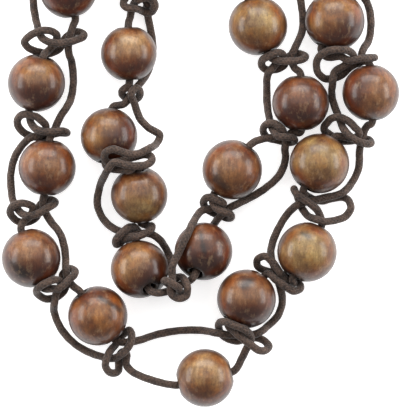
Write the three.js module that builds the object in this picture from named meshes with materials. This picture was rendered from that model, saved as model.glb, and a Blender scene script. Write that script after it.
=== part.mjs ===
// A beaded necklace: round wooden beads between overhand knots on two cords.
// One cord runs through a bead's bore and the other passes beside it, and at each knot one
// cord is tied round the other. The necklace lies folded, as a long loop on a flat surface.
// Millimetres, +Z up, and the surface is at Z = 0.

import * as THREE from 'three';

// Driving dimensions

const BEAD_DIAMETER = 20;
const BORE_DIAMETER = 4.2;
const MOUTH_DIAMETER = 5.2;
const MOUTH_DEPTH = 0.6;
const END_FLAT_DIAMETER = 6.6;
const CORD_DIAMETER = 2.5;
const CLEARANCE = 0.3;
const SIDE_HEIGHT = 6;

// The plan is drawn in units of PLAN_UNIT, x to the right and y down, from PLAN_ORIGIN. A bead
// is about 58 units wide, so the plan grows with the beads.

const PLAN_UNIT = BEAD_DIAMETER * 0.01725;
const PLAN_ORIGIN = { x: 199.18, y: 120.35 };

// Fineness of the faces

const BEAD_SIDES = 12;
const BEAD_BANDS = 6;
const CORD_SIDES = 6;
const RING_TURN = THREE.MathUtils.degToRad(36);
const RING_REACH = 7;

// How the cords are settled clear of each other and of the beads

const STEP = 0.9;
const SETTLING_ROUNDS = 320;
const PLAN_GIVE = 0.55;
const PLAN_PULL = 0.015;
const EVENING = 0.3;
const NEAR = 3.2;
const MOUTH_REACH = 1.11;
const MOUTH_FREE = 1.8;

const CORD_RADIUS = CORD_DIAMETER / 2;
const STRAND_PITCH = CORD_DIAMETER + CLEARANCE;

// The beads in their order along the loop, with the cord that passes beside each one.
// at: centre in plan. size: share of the bead diameter. out: where the bore leaves in plan,
// or nothing where it simply follows the loop. rise: how far the bore climbs on its way out,
// in degrees. side: the way of the cord beside the bead, or the hand it passes on.
// height: of that cord over the surface, in millimetres.

const BEADS = [
  { at: [68.3, -10.5], size: 0.99, out: [75, 17], rise: -8, side: [[35.5, -22], [33, 0], [35.4, 18]] },
  { at: [36.4, 83.1], size: 0.993, out: [29, 110.5], rise: -8,
    side: [[71.5, 62], [73.2, 82], [70.5, 99]] },
  { at: [47.1, 167.5], size: 0.99, out: [44.4, 194.5], rise: -5,
    side: [[15.5, 155], [10.6, 174], [10.9, 188]] },
  { at: [31.2, 258.1], size: 1.017, out: [41.4, 287], rise: 4,
    side: [[60, 233.5], [64.7, 249], [65.8, 262]], height: 10 },
  { at: [97.8, 315.8], size: 1.028, out: [115.5, 340], rise: -8,
    side: [[54.2, 313], [61, 329], [74, 343.5], [88, 352]] },
  { at: [204.9, 377.9], size: 1, out: [233.4, 370.9], rise: 0,
    side: [[156.9, 334.7], [178, 330.9], [200, 330.4]] },
  { at: [246.4, 298.8], size: 1.017, out: [266, 274.3], rise: -8,
    side: [[268.5, 325.5], [277.5, 316.5], [282.3, 303]] },
  { at: [307, 252], size: 1.028, out: [320.2, 227.5], rise: -6,
    side: [[272.5, 243], [279, 227.5], [288, 213.5]] },
  { at: [319.4, 163.4], size: 1.034, out: [334, 139], rise: -6, side: [[352.5, 182], [358.8, 168]] },
  { at: [370.8, 92.8], size: 0.986, out: [369.5, 64.5], rise: -4, side: [[332.4, 98]] },
  { at: [334.7, 21], size: 1.028, out: [347.4, -5], rise: -8,
    side: [[369.3, 39], [371.2, 22], [368.5, 5], [359, -13]] },
  { at: [344, -70], size: 1, rise: 0, side: 'left' },
  { at: [250, -71], size: 0.99, rise: 0, side: 'right' },
  { at: [258, 26], size: 1.017, out: [268, 53], rise: 6, side: [[295, -14], [302, 8], [303, 28]] },
  { at: [300.7, 103], size: 0.983, out: [300.9, 131], rise: -4, side: [[266.9, 90], [267.2, 103]] },
  { at: [232.2, 169.6], size: 1.034, out: [215, 193], rise: -6,
    side: [[285.5, 160], [279.5, 175], [265, 188.5], [249.5, 198]] },
  { at: [203.5, 251.4], size: 1, out: [195, 274], rise: 32,
    side: [[187.5, 235], [179.6, 251]], height: 17.5 },
  { at: [139.6, 269.2], size: 1, out: [129.2, 249.4], rise: -36,
    side: [[169.4, 257], [164.5, 246.5]], height: 5 },
  { at: [139.2, 195], size: 0.983, out: [137.2, 168], rise: 18,
    side: [[103.5, 219.5], [97.2, 204], [99.3, 188]] },
  { at: [109, 136.3], size: 0.983, out: [112, 109.5], rise: -12,
    side: [[157.5, 142], [159.8, 135], [149, 128], [140, 118.5]], height: 9 },
  { at: [128.8, 53.6], size: 0.966, out: [128.3, 26], rise: 0,
    side: [[148.5, 69], [152.5, 53], [151.8, 37], [149, 22], [146.2, 8]], height: 1.6 },
  { at: [140, -34], size: 0.99, rise: 0, side: 'left' },
  { at: [114, -124], size: 1.01, rise: 0, side: 'right' },
  { at: [28, -96], size: 1, rise: 0, side: 'left' },
];

// The route: how the cords lie at the knot that follows each bead, as a few chosen points
// [x, y, level], where one level is one cord over or under the middle of the knot.
// tied: the cord that makes the knot. core: the cord that it is tied round.
// ways: where the tied cord comes from and goes to, a bore or a bead's side. The core
// takes the other two. A knot with no points has the plain form below.

const KNOTS = [
  {
    ways: ['side', 'bore'], height: 9,
    tied: [[38, 28, -0.4], [41, 36.5, 0.1], [49, 42, 0.9], [60, 43.3, 1], [75, 40.5, 1],
      [84.3, 35.5, 0], [77, 31.5, -1], [65, 38, -1], [60, 48, -1], [47, 54.3, -1], [32, 50.5, -0.4],
      [24.3, 42.5, 0.1], [33, 34, 0.9], [47, 30.3, 1], [57, 35.5, 0.3], [53, 45, 0], [47, 52, 0]],
    core: [[73, 26, 0], [69, 39, 0], [68.5, 52, 0]],
  },
  {
    ways: ['bore', 'side'], height: 8.5,
    tied: [[29.3, 115, -0.2], [31, 123, 0.3], [37.5, 129.8, 0.9], [50, 132.3, 1], [63, 131.3, 0.8],
      [66.5, 133, -0.4], [57, 133, -1], [43, 137, -1], [30, 135.8, -0.9], [20, 129, -0.3],
      [17.3, 120.5, 0.2], [24, 112.7, 0.9], [33, 113.6, 1], [42, 120.5, 0.8], [46.5, 128, 0],
      [41, 135.5, 0], [30, 138, 0]],
    core: [[66, 108, 0], [60, 117, 0], [54.5, 129, 0]],
  },
  {
    ways: ['side', 'bore'], height: 8.5,
    tied: [[13, 201.5, -0.4], [18, 210, 0.1], [26, 215.3, 0.9], [35, 214.8, 1], [48, 207.8, 1],
      [55.3, 202.7, 0], [48.5, 199.7, -1], [39.5, 205.5, -1], [37.5, 215, -1], [29, 221.7, -1],
      [18, 221.5, -0.6], [10.3, 213, 0.1], [14, 205.2, 0.9], [24, 203.3, 1], [33, 207.5, 0.4],
      [30, 216, 0], [22.5, 222.5, 0.1]],
    core: [[42.6, 199.5, 0], [44.5, 210, 0], [50, 220.5, 0]],
  },
  {
    ways: ['bore', 'side'], height: 11,
    tied: [[45.5, 289, 0.2], [51, 288.5, 0.8], [59, 288, 1], [67.5, 281, 1], [75.3, 272.7, 0.1],
      [70, 268.8, -1], [62.5, 275, -1], [66, 286.5, -1], [58, 296.3, -1], [46, 298.7, -0.8],
      [37.5, 292.5, -0.2], [38, 286.5, 1], [46, 282, 1.6], [56, 279.5, 1.1], [61.3, 284, 0.1],
      [56.5, 293, 0], [54.6, 302, 0]],
    core: [[65.8, 268, 0], [68.5, 280, 0], [77, 289.3, 0]],
  },
  {
    ways: ['side', 'bore'], height: 8.5,
    tied: [[102, 356.8, -0.2], [112, 358.3, 0.2], [120.5, 355, 0.9], [128, 347.5, 1],
      [131.6, 337.5, 1], [129.5, 330.4, 0.2], [121.5, 336, -1.1], [116, 344, -1], [110.3, 351, 0.4],
      [107.6, 356.5, 1], [105.4, 366, 0.7], [110.5, 372.8, 0.1], [118, 371.5, -0.6], [118.6, 361, -1],
      [121, 352, -1.1], [126.7, 354.5, -0.9], [125.8, 363.5, -0.5], [133, 372.3, -0.1]],
    core: [[122, 342.3, 0.3], [136.5, 341, 0]],
  },
  {
    ways: ['bore', 'bore'], height: 10,
    tied: [[241.5, 359, -0.1], [246.2, 349, -0.1], [250.8, 340, 0.2], [247, 329.5, 1],
      [237, 322.3, 1], [225.5, 320.2, 0.8], [218.8, 326, -0.7], [222.5, 335.5, -1.3], [236, 341, -1],
      [249, 338, -1], [261, 339, -0.9], [269, 346.8, 0], [261, 350.8, 0.9], [248.5, 342, 1],
      [238, 334, 0.9], [231.5, 327, 0.1]],
    core: [[221, 333, 0.3], [236, 334.3, 0.1], [250, 335.5, 0], [259, 332.8, 0]],
  },
  {
    ways: ['bore', 'bore'], height: 9,
    tied: [[269, 273, 0], [276, 279, 0.9], [285, 286, 1], [294, 291, 0.9], [301, 287, 0],
      [295, 279.7, -1], [283, 274.5, -1], [268, 271.5, -1], [258.5, 267.3, -0.5], [257.5, 259.5, 0.4],
      [265.5, 256.2, 1], [273.5, 263, 1], [281, 272.5, 0.8], [288, 281, 0], [294.5, 281.5, 0]],
    core: [[280.8, 288, 0], [277.5, 276, 0], [271, 256.5, 0]],
  },
  {
    ways: ['bore', 'bore'], height: 9,
    tied: [[320, 217, 0.2], [315.5, 208.5, 0.9], [306.5, 200.8, 1], [297.5, 193.5, 0.8],
      [294, 188.5, -0.2], [297.5, 196, -1], [301.5, 207, -1], [308.5, 217, -0.2], [320, 222.2, 1],
      [334, 220.7, 0.6], [346, 216, 0], [351, 207, 0], [346, 198, -0.5], [334, 198, -1],
      [321, 201, -1], [310, 197.5, -1]],
    core: [[299, 204, 0], [310, 201.3, 0], [324, 197.8, 0], [342, 193.2, 0]],
  },
  {
    ways: ['bore', 'side'], height: 8.5,
    tied: [[342, 136.5, -0.1], [353, 138.5, -0.1], [360, 134.5, 0.4], [354, 126.5, 1],
      [346, 119.7, 1], [335.5, 116.8, 1], [325, 121.5, 0.5], [323.5, 130.5, -0.2], [332, 136.8, -1],
      [345, 141.3, -1], [358, 139.5, -1], [368.5, 139.3, -0.7], [371, 143.5, 0.2], [362, 142.7, 1],
      [351, 136.7, 1], [344, 129.5, 0.7], [339.3, 118, -0.3]],
    core: [[359.5, 150, 0], [361, 141, 0], [366, 127, 0]],
  },
  {
    ways: ['side', 'bore'], height: 10,
    tied: [[332.6, 83, 0.1], [335, 71.5, 0], [345, 65.3, 0], [353.5, 58.5, 0.1], [348.5, 51, 1.4],
      [336, 48.5, 1.9], [324, 52.5, 1.6], [317, 60.5, 0.5], [317.5, 71.5, 0], [326, 78.7, -0.8],
      [340, 76, -1], [352, 66, -1], [364, 61.5, -1], [373.3, 59.5, 0], [362, 58.5, 1], [349, 60, 1],
      [339, 56, 0.5], [332, 57.5, 0.2], [325, 56, 0]],
    core: [[362.5, 60, 0], [362.3, 52, 0]],
  },
  { ways: ['bore', 'side'], height: 8.5 },
  { ways: ['bore', 'side'], height: 8.5 },
  { ways: ['bore', 'side'], height: 8.5 },
  {
    ways: ['bore', 'side'], height: 10,
    tied: [[270.5, 57.5, 0.1], [277, 60.3, 0.9], [289, 61.2, 1], [300, 60.3, 0.9],
      [305.5, 56.5, -0.2], [297, 53.3, -1], [287.5, 57.5, -1], [283.5, 65.8, -1], [273, 69.8, -1],
      [263.5, 68, -0.5], [261.5, 60.5, 0.2], [267.5, 54.3, 1], [277, 51.8, 1], [283, 56, 0.2],
      [275.5, 64, 0], [268, 74, 0.2]],
    core: [[294.5, 49, 0], [290.8, 58, 0], [295.5, 69, 0]],
  },
  {
    ways: ['side', 'bore'], height: 8.5,
    tied: [[269.3, 118, -0.3], [272, 127, 0.1], [279.5, 133, 1], [288, 135.3, 1], [293.8, 138, 0.1],
      [289.5, 141.8, -0.9], [279, 140.2, -1], [267.5, 137.5, -0.8], [263.6, 130.5, 0],
      [268, 123.3, 0.9], [277, 122.3, 1], [285.5, 126, 0.8], [284, 132.5, 0], [275, 136, 0],
      [261, 139, 0]],
    core: [[293.5, 131.3, 0], [288, 138, 0], [285.3, 148, 0]],
  },
  {
    ways: ['bore', 'side'], height: 9,
    tied: [[212.6, 198, -0.1], [213.5, 204, 0.5], [220, 210, 1], [229.5, 213.5, 0.8],
      [229, 218.3, -0.5], [219, 215.5, -1], [209, 211.3, -1], [203.8, 204.5, -0.3], [207, 198, 0.7],
      [216, 197.8, 1], [224, 203, 0.9], [221.5, 207.5, 0], [211, 208, 0], [202, 210, 0]],
    core: [[236, 204.3, 0], [228, 208, 0], [220.5, 215, 0]],
  },
  {
    ways: ['side', 'side'], height: 13,
    tied: [[172, 266, 1.6], [170.3, 275.5, 1.1], [169, 285, 1], [169.5, 292.5, 0.9],
      [176, 296.5, 0.6], [183.5, 294, 0.2], [187, 286.5, 1.1], [182.5, 277.5, 0.3], [172, 280.3, -1],
      [166.5, 284, -0.9], [165, 281, 0.5], [168, 280.5, 1.9], [176, 286.5, 1.2], [178.5, 291.5, -0.3],
      [175.5, 284, -1.6], [170.6, 272, -1.6]],
    core: [[186, 281.8, 0], [172, 286.8, 0], [161.5, 292, 1.2]],
  },
  {
    ways: ['bore', 'bore'], height: 9,
    tied: [[134.5, 239.5, -1.7], [138.5, 235.5, -1.4], [138.5, 228.5, -1.1], [133.5, 224, -0.1],
      [127, 227.8, 1], [120.5, 234.5, 1], [116, 240, 0.6], [118, 244.5, -0.6], [124, 239.5, -0.7],
      [130, 235.8, 0.4], [137, 236.2, 1], [144, 233.8, 1], [150.5, 230, 0.6], [151.5, 225.5, 0],
      [147, 224.5, -0.7]],
    core: [[158, 238, 0], [149, 233, 0.3], [136, 233.3, 0.5], [117.5, 230.5, 0]],
  },
  {
    ways: ['side', 'side'], height: 17,
    tied: [[104.5, 176, -0.8], [109, 168.5, 0.6], [114.5, 162.5, 1.2], [126, 165, 1], [137.5, 166, 1],
      [148, 164.3, 0.7], [152.4, 158.7, 0], [147, 154.3, -0.8], [136, 156.8, -1], [124, 160.5, -0.8],
      [112, 165, -0.5], [105.4, 160.3, -0.1], [106, 152.7, 0.6], [113.5, 149.3, 1], [124, 152.6, 0.9],
      [136, 154.3, 0.8], [147, 150, 0.3]],
    core: [[129, 170.3, 0], [119, 167.2, 0]],
  },
  {
    ways: ['side', 'bore'], height: 8.5,
    tied: [[136, 108.5, 0.1], [133.5, 101, 0.6], [130.8, 94, 1.1], [134, 88, 1], [138.8, 90, 0.4],
      [138, 97, -0.6], [132.5, 99.8, -1], [126.5, 98, -1], [122.6, 94, 0], [123.5, 89.8, 0.9],
      [128.5, 87, 0.9]],
    core: [[124.5, 103.5, 0], [131, 94, 0], [138.5, 85.5, -0.3]],
  },
  {
    ways: ['bore', 'side'], height: 8.5,
    tied: [[130, 18, -0.3], [132.5, 9, -0.6], [137, 2, 0.2], [144, -2.5, 0.9], [152, -1, 1],
      [154.5, 5, 0.4], [149, 9.3, -0.7], [141, 7.5, -0.6], [135, 6.5, 0.6], [128, 7.3, 1],
      [123, 3, 0.6], [126, -4, 0], [118, -10, 0]],
    core: [[148, 6, 0], [145, 0, 0], [141, -5, 0]],
  },
  { ways: ['bore', 'side'], height: 8.5 },
  { ways: ['bore', 'side'], height: 8.5 },
  { ways: ['bore', 'side'], height: 8.5 },
];

// The plain knot, in plan units from the middle between the two beads' bores: [along, across, level],
// where across is negative on the hand that the core comes from.

const PLAIN_KNOT = {
  tied: [[-16, 2, 0], [-5, 9, 0.3], [3, 4, 0.9], [6.5, -8, 1], [7, -21, 0.8], [9, -25, -0.4],
    [8, -15, -1], [11, -2, -1], [9, 11, -0.9], [1, 20, -0.3], [-5, 22, 0.2], [-10.5, 15.5, 0.9],
    [-9, 6, 1], [-4, -2, 0.8], [4, -5, 0], [11, 2, 0], [16, 15, 0]],
  core: [[-14, -26, 0], [-6, -19, 0], [5, -12, 0]],
};
const SIDE_REACH = 37;
const SIDE_SPREAD = THREE.MathUtils.degToRad(36);

// Places

function inPlan([x, y], z) {
  return new THREE.Vector3((x - PLAN_ORIGIN.x) * PLAN_UNIT, (PLAN_ORIGIN.y - y) * PLAN_UNIT, z);
}

function neighbour(index, step) {
  return (index + step + BEADS.length) % BEADS.length;
}

function beadRadius(bead) {
  return (BEAD_DIAMETER * bead.size) / 2;
}

function beadCentre(bead) {
  return inPlan(bead.at, beadRadius(bead));
}

// The bore's direction: towards its way out in plan, or along the loop, climbing by its rise.
function boreDirection(index) {
  const bead = BEADS[index];
  const back = bead.out ? bead.at : BEADS[neighbour(index, -1)].at;
  const ahead = bead.out ?? BEADS[neighbour(index, 1)].at;
  const level = inPlan(ahead, 0).sub(inPlan(back, 0)).normalize();
  const rise = THREE.MathUtils.degToRad(bead.rise);
  return level.multiplyScalar(Math.cos(rise)).setZ(Math.sin(rise));
}

// A point of the cord in the bore, as a share of the way from the middle to the mouth.
// The cord lies on the bore's lower wall, a clearance over it.
function boreWay(index, share) {
  const radius = beadRadius(BEADS[index]);
  const halfLength = Math.sqrt(radius ** 2 - (END_FLAT_DIAMETER / 2) ** 2);
  const lie = BORE_DIAMETER / 2 - CORD_RADIUS - CLEARANCE;
  const point = beadCentre(BEADS[index]).addScaledVector(boreDirection(index), halfLength * share);
  return point.setZ(point.z - lie);
}

// The cord beside a bead: its chosen points, or three points on an arc round the bead.
function sideWay(index) {
  const bead = BEADS[index];
  const height = bead.height ?? SIDE_HEIGHT;
  if (Array.isArray(bead.side)) return bead.side.map((point) => inPlan(point, height));
  const hand = bead.side === 'left' ? 1 : -1;
  const outward = boreDirection(index).setZ(0).normalize().applyAxisAngle(up, (hand * Math.PI) / 2);
  return [1, 0, -1].map((turn) => {
    const ray = outward.clone().applyAxisAngle(up, hand * turn * SIDE_SPREAD);
    return inPlan(bead.at, height).addScaledVector(ray, SIDE_REACH * PLAN_UNIT);
  });
}

// The knot after a bead: the points of its tied cord or of its core.
function knotWay(index, strand) {
  const knot = KNOTS[index];
  const heightAt = (level) => knot.height + level * STRAND_PITCH;
  if (knot[strand]) return knot[strand].map(([x, y, level]) => inPlan([x, y], heightAt(level)));
  const from = boreWay(index, MOUTH_REACH).setZ(0);
  const to = boreWay(neighbour(index, 1), -MOUTH_REACH).setZ(0);
  const along = to.clone().sub(from).normalize();
  const hand = passesOnLeft(index) ? -1 : 1;
  const across = along.clone().applyAxisAngle(up, (hand * Math.PI) / 2);
  const middle = from.add(to).multiplyScalar(0.5);
  return PLAIN_KNOT[strand].map(([ahead, aside, level]) =>
    middle.clone().addScaledVector(along, ahead * PLAN_UNIT).addScaledVector(across, aside * PLAN_UNIT)
      .setZ(heightAt(level)));
}

// Whether the cord beside a bead passes on the left hand of the way along the loop.
function passesOnLeft(index) {
  const bead = BEADS[index];
  if (typeof bead.side === 'string') return bead.side === 'left';
  const middle = bead.side[Math.floor(bead.side.length / 2)];
  const offset = inPlan(middle, 0).sub(inPlan(bead.at, 0));
  return boreDirection(index).cross(offset).z > 0;
}

const up = new THREE.Vector3(0, 0, 1);

// One length of cord, from the middle of a bead's bore to the middle of the next bore that it
// enters. Where it passes beside a bead, it goes on through the following knot.
function cordWay(start) {
  const way = [boreWay(start, CLEARANCE / BEAD_DIAMETER), boreWay(start, 0.5), boreWay(start, MOUTH_REACH)];
  let index = start;
  let from = 'bore';
  for (;;) {
    const { ways } = KNOTS[index];
    const strand = ways[0] === from ? 'tied' : 'core';
    const to = strand === 'tied' ? ways[1] : { bore: 'side', side: 'bore' }[ways[1]];
    way.push(...knotWay(index, strand));
    index = neighbour(index, 1);
    if (to === 'bore') break;
    way.push(...sideWay(index));
    from = 'side';
  }
  way.push(boreWay(index, -MOUTH_REACH), boreWay(index, -0.5), boreWay(index, -CLEARANCE / BEAD_DIAMETER));
  return way;
}

// The cord as points an even step apart on a smooth curve, with those in the bores held.
function cordLine(start) {
  const way = cordWay(start);
  const curve = new THREE.CatmullRomCurve3(way, false, 'centripetal');
  const steps = Math.round(curve.getLength() / STEP);
  const points = curve.getSpacedPoints(steps);
  const mouths = [way[2], way[way.length - 3]];
  const held = points.map((point, i) => {
    const mouth = mouths[i < points.length / 2 ? 0 : 1];
    const end = i < points.length / 2 ? points[0] : points[points.length - 1];
    return point.distanceTo(end) < mouth.distanceTo(end);
  });
  const free = points.map((point) => mouths.some((mouth) => point.distanceTo(mouth) < MOUTH_FREE));
  return { points, held, free };
}

// Settling: cords that come too near each other or a bead move apart, mostly up and down, and
// the moves are evened out along each cord, so that the plan keeps its drawn form.
function settle(lines) {
  const beads = BEADS.map((bead) => ({ centre: beadCentre(bead), reach: beadRadius(bead) }));
  const dots = lines.flatMap((line, cord) => line.points.map((rest, i) => ({
    cord, i, rest, place: rest.clone(), held: line.held[i], free: line.free[i],
    push: new THREE.Vector3(), pushes: 0,
  })));
  const pairs = nearPairs(dots);
  const guards = dots.filter((dot) => !dot.held).flatMap((dot) => beads
    .filter((bead) => dot.rest.distanceTo(bead.centre) < bead.reach + NEAR * CORD_DIAMETER)
    .filter((bead) => !dot.free || dot.rest.distanceTo(bead.centre) > bead.reach + MOUTH_FREE)
    .map((bead) => ({ dot, bead })));
  for (let round = 0; round < SETTLING_ROUNDS; round += 1) {
    for (const [a, b] of pairs) part(a, b);
    for (const { dot, bead } of guards) clear(dot, bead);
    for (const dot of dots) move(dot);
    for (const line of lines) even(dots, line, 1 - round / SETTLING_ROUNDS);
  }
  let first = 0;
  return lines.map(({ points }) => {
    const places = dots.slice(first, first + points.length).map((dot) => dot.place);
    first += points.length;
    return places;
  });
}

// Pairs of points that may come to touch: near in place, and not close along one cord.
function nearPairs(dots) {
  const pairs = [];
  const apart = 1.8 * STRAND_PITCH;
  const reach = NEAR * STRAND_PITCH;
  for (let a = 0; a < dots.length; a += 1) {
    for (let b = a + 1; b < dots.length; b += 1) {
      const alongCord = dots[a].cord === dots[b].cord ? (dots[b].i - dots[a].i) * STEP : Infinity;
      if (Math.abs(dots[a].rest.x - dots[b].rest.x) > reach) continue;
      if (Math.abs(dots[a].rest.y - dots[b].rest.y) > reach) continue;
      if (alongCord <= apart || dots[a].rest.distanceTo(dots[b].rest) >= reach) continue;
      pairs.push([dots[a], dots[b]]);
    }
  }
  return pairs;
}

function part(a, b) {
  const gap = b.place.clone().sub(a.place);
  const lack = STRAND_PITCH - gap.length();
  if (lack <= 0) return;
  gap.normalize().multiplyScalar(lack / 2);
  a.push.sub(gap);
  b.push.add(gap);
  a.pushes += 1;
  b.pushes += 1;
}

function clear(dot, bead) {
  const gap = dot.place.clone().sub(bead.centre);
  const lack = bead.reach + CORD_RADIUS + CLEARANCE - gap.length();
  if (lack <= 0) return;
  dot.push.add(gap.normalize().multiplyScalar(lack));
  dot.pushes += 1;
}

function move(dot) {
  if (dot.pushes && !dot.held) {
    const share = 1 / Math.max(1, dot.pushes / 2);
    dot.place.x += dot.push.x * share * PLAN_GIVE;
    dot.place.y += dot.push.y * share * PLAN_GIVE;
    dot.place.z += dot.push.z * share;
  }
  dot.place.z = Math.max(dot.place.z, CORD_RADIUS);
  dot.push.set(0, 0, 0);
  dot.pushes = 0;
}

// Each point's move from its drawn place is blended with its two neighbours' moves, less and
// less from round to round.
function even(dots, line, share) {
  const first = dots.findIndex((dot) => dot.rest === line.points[0]);
  const moves = line.points.map((rest, i) => dots[first + i].place.clone().sub(rest));
  for (let i = 1; i < line.points.length - 1; i += 1) {
    if (line.held[i]) continue;
    const mean = moves[i - 1].clone().add(moves[i + 1]).multiplyScalar(0.5);
    const shift = moves[i].clone().lerp(mean, EVENING * share);
    shift.x *= 1 - PLAN_PULL * share;
    shift.y *= 1 - PLAN_PULL * share;
    dots[first + i].place.copy(line.points[i]).add(shift);
  }
}

// The cord's solid: a wire of CORD_SIDES sides with a ring wherever it has turned enough.
class RingLine extends THREE.Curve {
  constructor(places) {
    super();
    this.rings = keptRings(places);
  }

  getPoint(t) {
    return this.rings[Math.round(t * (this.rings.length - 1))].place.clone();
  }

  getPointAt(t) {
    return this.getPoint(t);
  }

  getTangentAt(t) {
    return this.rings[Math.round(t * (this.rings.length - 1))].ahead.clone();
  }
}

function keptRings(places) {
  const last = places.length - 1;
  const ahead = places.map((place, i) =>
    places[Math.min(i + 1, last)].clone().sub(places[Math.max(i - 1, 0)]).normalize());
  const rings = [{ place: places[0], ahead: ahead[0] }];
  let kept = 0;
  for (let i = 1; i < last; i += 1) {
    const turned = ahead[i].angleTo(ahead[kept]) + ahead[i + 1].angleTo(ahead[kept]);
    if (turned < 2 * RING_TURN && (i - kept) * STEP < RING_REACH) continue;
    rings.push({ place: places[i], ahead: ahead[i] });
    kept = i;
  }
  rings.push({ place: places[last], ahead: ahead[last] });
  return rings;
}

function cordGeometry(places) {
  const corners = Array.from({ length: CORD_SIDES }, (_, side) => {
    const turn = (side * 2 * Math.PI) / CORD_SIDES;
    return new THREE.Vector2(CORD_RADIUS * Math.cos(turn), CORD_RADIUS * Math.sin(turn));
  });
  const line = new RingLine(places);
  return new THREE.ExtrudeGeometry(new THREE.Shape(corners), {
    extrudePath: line,
    steps: line.rings.length - 1,
  });
}

// A bead: a ball with flattened ends, turned round its bore, with a slightly widened mouth.
function beadGeometry(bead) {
  const radius = beadRadius(bead);
  const tip = Math.asin(END_FLAT_DIAMETER / 2 / radius);
  const halfLength = radius * Math.cos(tip);
  const profile = [];
  for (let band = 0; band <= BEAD_BANDS; band += 1) {
    const angle = tip + ((Math.PI - 2 * tip) * band) / BEAD_BANDS;
    profile.push(new THREE.Vector2(radius * Math.sin(angle), -radius * Math.cos(angle)));
  }
  profile.push(new THREE.Vector2(MOUTH_DIAMETER / 2, halfLength));
  profile.push(new THREE.Vector2(BORE_DIAMETER / 2, halfLength - MOUTH_DEPTH));
  profile.push(new THREE.Vector2(BORE_DIAMETER / 2, MOUTH_DEPTH - halfLength));
  profile.push(new THREE.Vector2(MOUTH_DIAMETER / 2, -halfLength));
  profile.push(profile[0].clone());
  return new THREE.LatheGeometry(profile, BEAD_SIDES);
}

// Materials

const wood = new THREE.MeshStandardMaterial({ color: 0x7a4a2c, roughness: 0.3, metalness: 0 });
const fabric = new THREE.MeshStandardMaterial({ color: 0x3b2a24, roughness: 0.8, metalness: 0 });

// Assembly

const necklace = new THREE.Group();

function number(index) {
  return String(index + 1).padStart(2, '0');
}

BEADS.forEach((bead, index) => {
  const mesh = new THREE.Mesh(beadGeometry(bead), wood);
  mesh.name = `bead_${number(index)}`;
  mesh.position.copy(beadCentre(bead));
  mesh.quaternion.setFromUnitVectors(new THREE.Vector3(0, 1, 0), boreDirection(index));
  necklace.add(mesh);
});

settle(BEADS.map((bead, index) => cordLine(index))).forEach((places, index) => {
  const mesh = new THREE.Mesh(cordGeometry(places), fabric);
  mesh.name = `cord_${number(index)}`;
  necklace.add(mesh);
});

export default necklace;
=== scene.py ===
# The looks of a beaded necklace: varnished wooden beads and two dark braided cords with a
# knot between each pair of beads, lying folded on a pale floor and seen from straight above.
# The route's points and tables are the same as in the part's source, in plan units.

import math

import bpy
import numpy as np
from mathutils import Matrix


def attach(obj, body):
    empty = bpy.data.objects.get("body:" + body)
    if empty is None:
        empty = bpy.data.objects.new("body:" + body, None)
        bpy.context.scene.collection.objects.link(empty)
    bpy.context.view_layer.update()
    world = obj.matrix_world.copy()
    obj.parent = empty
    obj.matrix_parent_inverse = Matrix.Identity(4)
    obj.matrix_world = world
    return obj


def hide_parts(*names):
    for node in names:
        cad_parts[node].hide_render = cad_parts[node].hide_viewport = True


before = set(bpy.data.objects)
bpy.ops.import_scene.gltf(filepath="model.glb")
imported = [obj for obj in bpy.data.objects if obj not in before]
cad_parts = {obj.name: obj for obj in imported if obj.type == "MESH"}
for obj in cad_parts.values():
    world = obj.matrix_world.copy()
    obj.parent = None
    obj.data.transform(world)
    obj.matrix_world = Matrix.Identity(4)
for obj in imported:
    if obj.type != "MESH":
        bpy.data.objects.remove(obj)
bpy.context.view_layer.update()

# A millimetre in metres

MM = 0.001

# Driving dimensions, in millimetres

BEAD_DIAMETER = 20.0
BORE_DIAMETER = 4.2
MOUTH_DIAMETER = 5.2
END_FLAT_DIAMETER = 6.6
END_ROUNDING = 0.4
CORD_DIAMETER = 2.5
BRAID_DIAMETER = 2.66
CLEARANCE = 0.3
SIDE_HEIGHT = 6.0

# The plan is drawn in units of PLAN_UNIT, x to the right and y down, from PLAN_ORIGIN. The
# picture is PICTURE_WIDTH by PICTURE_HEIGHT of these units.

PLAN_UNIT = BEAD_DIAMETER * 0.01725
PLAN_ORIGIN = (199.18, 120.35)
PICTURE_WIDTH, PICTURE_HEIGHT = 400, 409

# How the cords are settled clear of each other and of the beads. STEP is the distance between
# a line's points, and MOUTH_FREE how far round a bore's mouth a cord may lie near the bead,
# both in millimetres. Of each push the share PLAN_GIVE acts in plan. Each round evens out the
# share EVENING of the moves and takes back the share PLAN_PULL of those in plan, and both
# shares fade. Only what is drawn nearer than NEAR cord widths is kept apart, and points of one
# cord only where they are OWN_REACH strand pitches apart along it. MOUTH_REACH is how far from
# the bead's middle the cord leaves the bore, in half lengths of the bore.

STEP = 0.9
SETTLING_ROUNDS = 320
PLAN_GIVE = 0.55
PLAN_PULL = 0.015
EVENING = 0.3
NEAR = 3.2
OWN_REACH = 1.8
MOUTH_REACH = 1.11
MOUTH_FREE = 1.8

# The surfaces: the distance between a cord's rings in millimetres, the sides of its rings, the
# rings and sides of a bead, and as shares of the cord's radius the braid's unevenness and the
# width of the cap that closes an end

FINE_STEP = 0.32
CORD_SIDES = 20
BEAD_RINGS = 44
BEAD_SIDES = 72
BRAID_WAVE = 0.02
CAP_WIDTH = 0.02

CORD_RADIUS = CORD_DIAMETER / 2
STRAND_PITCH = CORD_DIAMETER + CLEARANCE

# The beads in their order along the loop, with the cord that passes beside each one.
# "at": centre in plan. "size": share of the bead diameter. "out": where the bore leaves in
# plan, or nothing where it simply follows the loop. "rise": how far the bore climbs on its
# way out, in degrees. "side": the way of the cord beside the bead, or the hand it passes on.
# "height": of that cord over the surface, in millimetres.

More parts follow.
